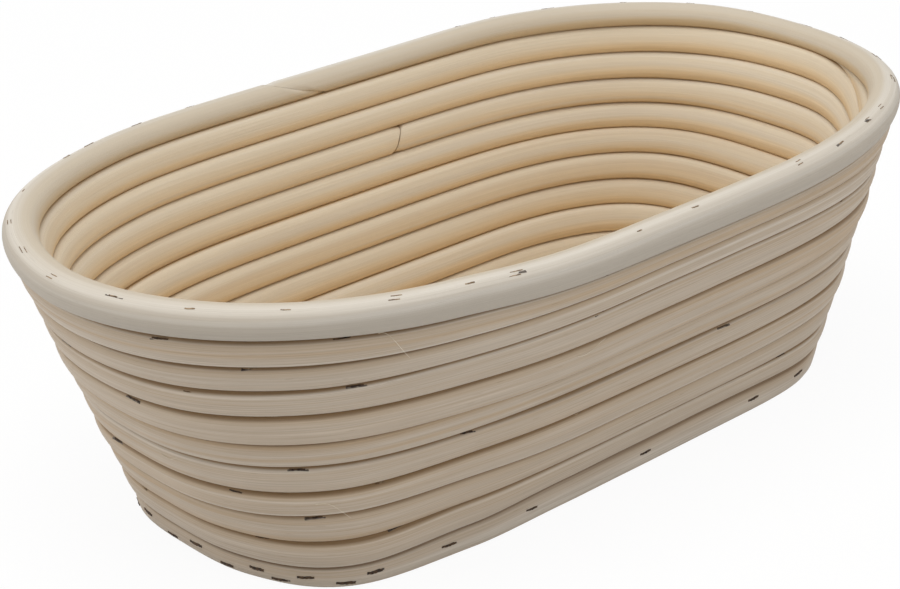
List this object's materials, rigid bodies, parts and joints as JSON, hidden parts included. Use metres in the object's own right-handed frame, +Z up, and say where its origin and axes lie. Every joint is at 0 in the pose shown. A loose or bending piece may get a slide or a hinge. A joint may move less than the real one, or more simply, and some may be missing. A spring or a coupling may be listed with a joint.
{
  "type": "proofing basket",
  "caption": "Oval proofing basket wound from round cane, with a flat spiral base, leaning walls and a stapled rim hoop, for shaping a rising loaf.",
  "frame": {"origin": "centre of the underside of the base, on the surface that the basket stands on", "axes": "+X along the basket's length, +Y across it, +Z up out of the mouth"},
  "size_m": [0.2674, 0.1475, 0.0845],
  "materials": {
    "cane": "dry peeled rattan core, matt with a fine lengthwise grain",
    "rim_cane": "dry peeled rattan core, paler and smoother than the wall",
    "staple_wire": "dull, darkened wire"
  },
  "bodies": {
    "root": {"centre_cane": "cane", "base_cane": "cane", "lower_wall_cane": "cane", "upper_wall_cane": "cane", "rim_cane": "rim_cane", "rim_staples": "staple_wire", "wall_staples_1": "staple_wire", "wall_staples_2": "staple_wire", "wall_staples_3": "staple_wire", "wall_staples_4": "staple_wire", "wall_staples_5": "staple_wire", "wall_staples_6": "staple_wire", "wall_staples_7": "staple_wire", "wall_staples_8": "staple_wire", "wall_staples_9": "staple_wire", "foot_staples": "staple_wire", "base_staples_inner": "staple_wire", "base_staples_outer": "staple_wire"}
  },
  "joints": []
}
